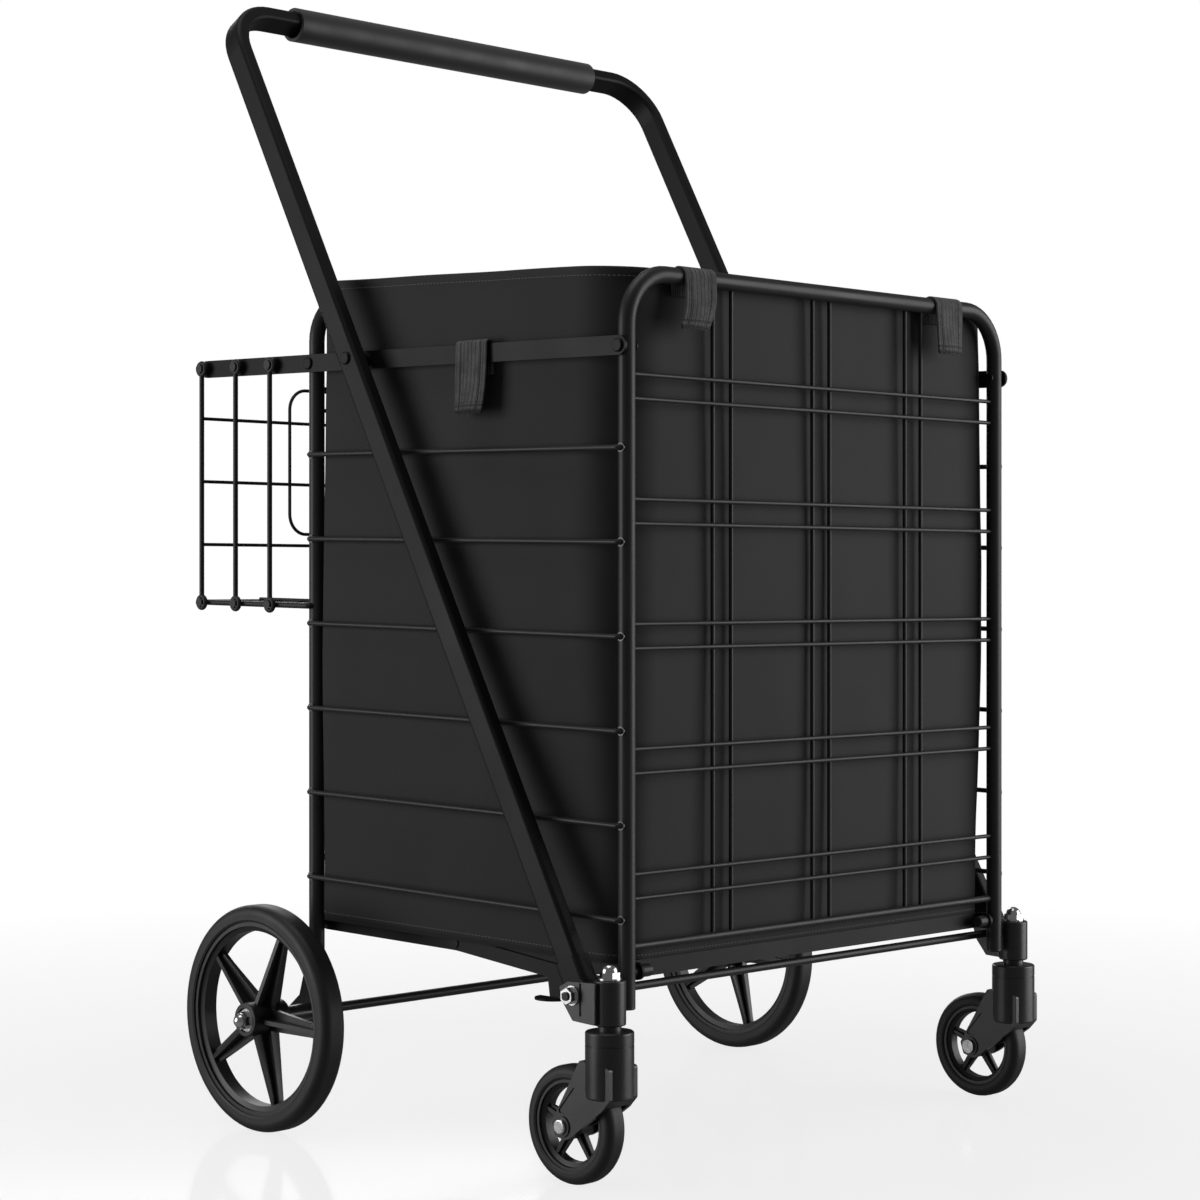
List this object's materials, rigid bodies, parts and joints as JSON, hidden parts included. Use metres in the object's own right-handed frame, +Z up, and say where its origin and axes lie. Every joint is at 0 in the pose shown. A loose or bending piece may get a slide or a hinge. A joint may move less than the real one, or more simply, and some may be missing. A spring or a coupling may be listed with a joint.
{
  "type": "folding shopping cart",
  "caption": "Folding two-wheeled shopping cart with swivel front casters, wire-panel basket with a cloth liner, small rear basket and leaning U handle with foam grip.",
  "frame": {"origin": "on the floor, under the middle of the whole cart", "axes": "+Z up, +X across the cart, -Y the front (casters), +Y the rear (large wheels and handle)"},
  "size_m": [0.7824, 0.6483, 1.166],
  "materials": {
    "black_enamel": "satin",
    "black_steel": "satin",
    "bright_metal": "polished",
    "black_plastic": "matte",
    "wheel_plastic": "gloss",
    "tyre_rubber": "matte",
    "grip_foam": "matte",
    "liner_cloth": "matte",
    "webbing": "matte"
  },
  "bodies": {
    "rear_frame": {"rear_frame_tube": "black_enamel", "rear_grid": "black_enamel", "rear_hole_rims": "black_steel", "rear_axle": "black_enamel", "axle_plate_left": "black_enamel", "axle_plate_right": "black_enamel", "axle_spacers": "black_steel", "axle_nuts": "bright_metal", "rear_leg_caps": "black_plastic", "straps_rear": "webbing", "liner_bag": "liner_cloth"},
    "rear_wheel_left": {"rear_wheel_rim_left": "wheel_plastic", "rear_tyre_left": "tyre_rubber"},
    "rear_wheel_right": {"rear_wheel_rim_right": "wheel_plastic", "rear_tyre_right": "tyre_rubber"},
    "top_bars": {"top_bar_left": "black_enamel", "top_bar_right": "black_enamel", "top_bar_rivets": "black_steel", "basket_hanger_pins": "black_steel", "handle_rivets": "black_steel", "straps_side": "webbing"},
    "front_frame": {"front_frame_tube": "black_enamel", "front_grid": "black_enamel", "front_hole_rims": "black_steel", "front_leg_caps": "black_plastic", "straps_front": "webbing"},
    "side_link_pair_1": {"side_links_1": "black_enamel"},
    "side_link_pair_2": {"side_links_2": "black_enamel"},
    "side_link_pair_3": {"side_links_3": "black_enamel"},
    "side_link_pair_4": {"side_links_4": "black_enamel"},
    "side_link_pair_5": {"side_links_5": "black_enamel"},
    "side_link_pair_6": {"side_links_6": "black_enamel"},
    "platform": {"platform_frame": "black_enamel", "platform_wires": "black_enamel", "platform_pins": "black_steel", "latch_rivet": "black_steel"},
    "latch": {"latch_bar": "black_enamel", "latch_hook": "black_enamel"},
    "handle": {"handle_tube": "black_enamel", "handle_grip": "grip_foam", "handle_feet": "black_plastic", "tie_rod": "black_enamel", "tie_rod_nuts": "bright_metal", "caster_bracket_left": "black_plastic", "caster_bracket_right": "black_plastic"},
    "caster_left": {"caster_fork_left": "black_plastic", "caster_stem_left": "bright_metal", "caster_axle_left": "bright_metal"},
    "caster_right": {"caster_fork_right": "black_plastic", "caster_stem_right": "bright_metal", "caster_axle_right": "bright_metal"},
    "caster_wheel_left": {"caster_rim_left": "wheel_plastic", "caster_tyre_left": "tyre_rubber"},
    "caster_wheel_right": {"caster_rim_right": "wheel_plastic", "caster_tyre_right": "tyre_rubber"},
    "hangers_front": {"basket_hangers_front": "black_enamel"},
    "hangers_middle": {"basket_hangers_middle": "black_enamel"},
    "basket_back": {"basket_back": "black_enamel"},
    "basket_bottom": {"basket_bottom": "black_enamel"}
  },
  "joints": [
    {"name": "fold", "type": "hinge", "parent": "rear_frame", "child": "top_bars", "pos_m": [0, 0.14545, 0.7752], "axis": [-1, 0, 0], "range_deg": [0, 72], "deforming": ["liner_bag"]},
    {"name": "front_frame_hang", "type": "hinge", "parent": "top_bars", "child": "front_frame", "pos_m": [0, -0.29655, 0.7672], "axis": [-1, 0, 0], "range_deg": [-72, 0]},
    {"name": "side_link_1_turn", "type": "hinge", "parent": "rear_frame", "child": "side_link_pair_1", "pos_m": [0, 0.14545, 0.682], "axis": [-1, 0, 0], "range_deg": [0, 72]},
    {"name": "side_link_2_turn", "type": "hinge", "parent": "rear_frame", "child": "side_link_pair_2", "pos_m": [0, 0.14545, 0.5957], "axis": [-1, 0, 0], "range_deg": [0, 72]},
    {"name": "side_link_3_turn", "type": "hinge", "parent": "rear_frame", "child": "side_link_pair_3", "pos_m": [0, 0.14545, 0.5094], "axis": [-1, 0, 0], "range_deg": [0, 72]},
    {"name": "side_link_4_turn", "type": "hinge", "parent": "rear_frame", "child": "side_link_pair_4", "pos_m": [0, 0.14545, 0.4231], "axis": [-1, 0, 0], "range_deg": [0, 72]},
    {"name": "side_link_5_turn", "type": "hinge", "parent": "rear_frame", "child": "side_link_pair_5", "pos_m": [0, 0.14545, 0.3368], "axis": [-1, 0, 0], "range_deg": [0, 72]},
    {"name": "side_link_6_turn", "type": "hinge", "parent": "rear_frame", "child": "side_link_pair_6", "pos_m": [0, 0.14545, 0.2505], "axis": [-1, 0, 0], "range_deg": [0, 72]},
    {"name": "platform_lift", "type": "hinge", "parent": "rear_frame", "child": "platform", "pos_m": [0, 0.14545, 0.202], "axis": [-1, 0, 0], "range_deg": [0, 72]},
    {"name": "handle_turn", "type": "hinge", "parent": "top_bars", "child": "handle", "pos_m": [0, 0.05245, 0.77352], "axis": [-1, 0, 0], "range_deg": [-92.01, 0]},
    {"name": "hangers_front_hang", "type": "hinge", "parent": "top_bars", "child": "hangers_front", "pos_m": [0, 0.20045, 0.77619], "axis": [-1, 0, 0], "range_deg": [-72, 0]},
    {"name": "hangers_middle_hang", "type": "hinge", "parent": "top_bars", "child": "hangers_middle", "pos_m": [0, 0.25745, 0.77723], "axis": [-1, 0, 0], "range_deg": [-72, 0]},
    {"name": "basket_back_hang", "type": "hinge", "parent": "top_bars", "child": "basket_back", "pos_m": [0, 0.31545, 0.77828], "axis": [-1, 0, 0], "range_deg": [-72, 0]},
    {"name": "basket_bottom_turn", "type": "hinge", "parent": "rear_frame", "child": "basket_bottom", "pos_m": [0, 0.14545, 0.527], "axis": [-1, 0, 0], "range_deg": [0, 72]},
    {"name": "latch_lift", "type": "hinge", "parent": "platform", "child": "latch", "pos_m": [-0.2691, -0.05355, 0.1984], "axis": [-1, 0, 0], "range_deg": [0, 10]},
    {"name": "caster_left_swivel", "type": "hinge", "parent": "handle", "child": "caster_left", "pos_m": [-0.3075, -0.30155, 0.145], "axis": [0, 0, 1], "continuous": true},
    {"name": "caster_wheel_left_roll", "type": "hinge", "parent": "caster_left", "child": "caster_wheel_left", "pos_m": [-0.3075, -0.25855, 0.0548], "axis": [1, 0, 0], "continuous": true},
    {"name": "rear_wheel_left_roll", "type": "hinge", "parent": "rear_frame", "child": "rear_wheel_left", "pos_m": [-0.355, 0.13845, 0.1135], "axis": [1, 0, 0], "continuous": true},
    {"name": "caster_right_swivel", "type": "hinge", "parent": "handle", "child": "caster_right", "pos_m": [0.3075, -0.30155, 0.145], "axis": [0, 0, -1], "continuous": true},
    {"name": "caster_wheel_right_roll", "type": "hinge", "parent": "caster_right", "child": "caster_wheel_right", "pos_m": [0.3075, -0.25855, 0.0548], "axis": [1, 0, 0], "continuous": true},
    {"name": "rear_wheel_right_roll", "type": "hinge", "parent": "rear_frame", "child": "rear_wheel_right", "pos_m": [0.355, 0.13845, 0.1135], "axis": [1, 0, 0], "continuous": true}
  ],
  "couplings": [
    {"joint": "front_frame_hang", "follows": "fold", "ratio": -1},
    {"joint": "side_link_1_turn", "follows": "fold", "ratio": 1},
    {"joint": "side_link_2_turn", "follows": "fold", "ratio": 1},
    {"joint": "side_link_3_turn", "follows": "fold", "ratio": 1},
    {"joint": "side_link_4_turn", "follows": "fold", "ratio": 1},
    {"joint": "side_link_5_turn", "follows": "fold", "ratio": 1},
    {"joint": "side_link_6_turn", "follows": "fold", "ratio": 1},
    {"joint": "platform_lift", "follows": "fold", "ratio": 1},
    {"joint": "handle_turn", "follows": "fold", "ratio": -1.2778},
    {"joint": "hangers_front_hang", "follows": "fold", "ratio": -1},
    {"joint": "hangers_middle_hang", "follows": "fold", "ratio": -1},
    {"joint": "basket_back_hang", "follows": "fold", "ratio": -1},
    {"joint": "basket_bottom_turn", "follows": "fold", "ratio": 1}
  ]
}
